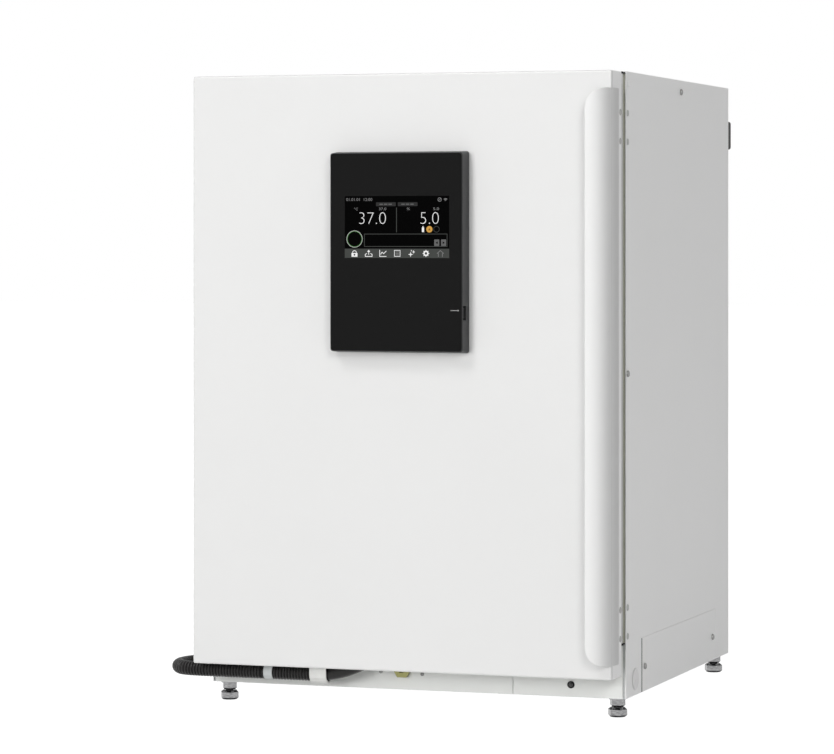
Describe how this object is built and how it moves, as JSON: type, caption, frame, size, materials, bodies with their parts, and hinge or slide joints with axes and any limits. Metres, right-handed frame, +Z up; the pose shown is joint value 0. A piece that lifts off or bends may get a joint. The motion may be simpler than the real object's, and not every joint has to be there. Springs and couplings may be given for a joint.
{
  "type": "carbon dioxide incubator",
  "caption": "Floor or bench incubator cabinet with a hinged insulated door, inner glass door, steel chamber with sliding shelves, water tray and fan.",
  "frame": {"origin": "middle of the footprint's box, on the surface that the feet stand on", "axes": "+Z up, -Y out of the front door, +X to the right seen from the front"},
  "size_m": [0.6812, 0.71, 0.9],
  "materials": {
    "white_paint": "smooth white powder coat",
    "plinth_paint": "smooth pale grey powder coat",
    "stainless": "fine brushed stainless steel",
    "zinc_sheet": "plain zinc-coated sheet",
    "chrome": "bright plated",
    "brass": "satin",
    "fan_metal": "satin",
    "black_plastic": "fine matt",
    "black_fascia": "satin black window",
    "grey_plastic": "fine matt",
    "white_plastic": "satin",
    "seal_rubber": "matt",
    "silicone": "matt translucent",
    "foam": "rigid closed-cell foam",
    "clear_glass": "clear tempered"
  },
  "bodies": {
    "cabinet": {"side_panel_left": "white_paint", "side_panel_right": "white_paint", "top_panel": "white_paint", "rear_panel": "white_paint", "base_pan": "zinc_sheet", "service_cover_left": "white_paint", "service_cover_right": "white_paint", "plinth_plate_left": "plinth_paint", "plinth_plate_right": "plinth_paint", "drain_port": "brass", "front_frame": "white_paint", "side_port_plug": "grey_plastic", "rear_spacer_left": "black_plastic", "rear_spacer_right": "black_plastic", "cabinet_insulation": "foam", "inner_chamber": "stainless", "shelf_bracket_left": "stainless", "shelf_bracket_right": "stainless", "duct_cover": "stainless", "fan_motor": "zinc_sheet", "gas_sensor": "white_plastic", "access_port": "white_plastic", "gas_inlets": "brass", "mains_inlet": "black_plastic", "control_box": "zinc_sheet", "conduit_gland": "black_plastic", "conduit_loop": "seal_rubber", "door_switch": "white_plastic", "hinge_lower_cabinet_leaf": "white_paint", "hinge_upper_cabinet_leaf": "white_paint", "inner_gasket": "seal_rubber", "inner_hinge_strip": "stainless", "latch_catch": "stainless"},
    "outer_door": {"door_skin": "white_paint", "door_insulation": "foam", "door_liner": "white_paint", "door_gasket": "seal_rubber", "door_handle": "white_paint", "panel_housing": "black_plastic", "display_glass": "black_fascia", "hinge_lower_door_leaf": "white_paint", "hinge_upper_door_leaf": "white_paint", "conduit_door": "seal_rubber", "conduit_clamp": "white_plastic"},
    "inner_door": {"inner_glass": "clear_glass", "inner_door_strip": "stainless"},
    "latch": {"latch_lever": "stainless"},
    "fan": {"fan_impeller": "fan_metal"},
    "stopper": {"port_stopper": "silicone"},
    "plunger": {"switch_plunger": "black_plastic"},
    "button": {"reset_button": "grey_plastic"},
    "shelf_a": {"shelf_1": "stainless"},
    "shelf_b": {"shelf_2": "stainless"},
    "shelf_c": {"shelf_3": "stainless"},
    "shelf_d": {"shelf_4": "stainless"},
    "pan": {"humidity_pan": "stainless"},
    "foot_a": {"foot_front_left": "chrome"},
    "foot_b": {"foot_front_right": "chrome"},
    "foot_c": {"foot_rear_left": "chrome"},
    "foot_d": {"foot_rear_right": "chrome"}
  },
  "joints": [
    {"name": "outer_door_hinge", "type": "hinge", "parent": "cabinet", "child": "outer_door", "pos_m": [-0.2986, -0.2675, 0], "axis": [0, 0, -1], "range_deg": [0, 110], "deforming": ["conduit_loop"]},
    {"name": "inner_door_hinge", "type": "hinge", "parent": "cabinet", "child": "inner_door", "pos_m": [-0.2461, -0.2665, 0], "axis": [0, 0, -1], "range_deg": [0, 94]},
    {"name": "latch_turn", "type": "hinge", "parent": "inner_door", "child": "latch", "pos_m": [0.2859, -0.269, 0.47], "axis": [0, 1, 0], "range_deg": [0, 90]},
    {"name": "fan_spin", "type": "hinge", "parent": "cabinet", "child": "fan", "pos_m": [0.0279, 0.2701, 0.716], "axis": [0, 1, 0], "continuous": true},
    {"name": "stopper_pull", "type": "slide", "parent": "cabinet", "child": "stopper", "axis": [0, 1, 0], "range_m": [0, 0.05]},
    {"name": "plunger_slide", "type": "slide", "parent": "cabinet", "child": "plunger", "axis": [0, -1, 0], "range_m": [0, 0.004]},
    {"name": "reset_press", "type": "slide", "parent": "cabinet", "child": "button", "axis": [0, 1, 0], "range_m": [0, 0.0015], "stiffness_N_per_m": 300, "springref_m": -0.001},
    {"name": "shelf_1_slide", "type": "slide", "parent": "cabinet", "child": "shelf_a", "axis": [0, -1, 0], "range_m": [0, 0.042]},
    {"name": "shelf_2_slide", "type": "slide", "parent": "cabinet", "child": "shelf_b", "axis": [0, -1, 0], "range_m": [0, 0.042]},
    {"name": "shelf_3_slide", "type": "slide", "parent": "cabinet", "child": "shelf_c", "axis": [0, -1, 0], "range_m": [0, 0.042]},
    {"name": "shelf_4_slide", "type": "slide", "parent": "cabinet", "child": "shelf_d", "axis": [0, -1, 0], "range_m": [0, 0.042]},
    {"name": "pan_slide", "type": "slide", "parent": "cabinet", "child": "pan", "axis": [0, -1, 0], "range_m": [0, 0.042]},
    {"name": "foot_front_left_turn", "type": "hinge", "parent": "cabinet", "child": "foot_a", "pos_m": [-0.2641, -0.235, 0], "axis": [0, 0, 1], "continuous": true},
    {"name": "foot_front_right_turn", "type": "hinge", "parent": "cabinet", "child": "foot_b", "pos_m": [0.3199, -0.235, 0], "axis": [0, 0, 1], "continuous": true},
    {"name": "foot_rear_left_turn", "type": "hinge", "parent": "cabinet", "child": "foot_c", "pos_m": [-0.2641, 0.307, 0], "axis": [0, 0, 1], "continuous": true},
    {"name": "foot_rear_right_turn", "type": "hinge", "parent": "cabinet", "child": "foot_d", "pos_m": [0.3199, 0.307, 0], "axis": [0, 0, 1], "continuous": true}
  ],
  "couplings": [
    {"joint": "inner_door_hinge", "follows": "outer_door_hinge", "ratio": 0.85},
    {"joint": "plunger_slide", "follows": "outer_door_hinge", "m_per_rad": 0.00208}
  ]
}
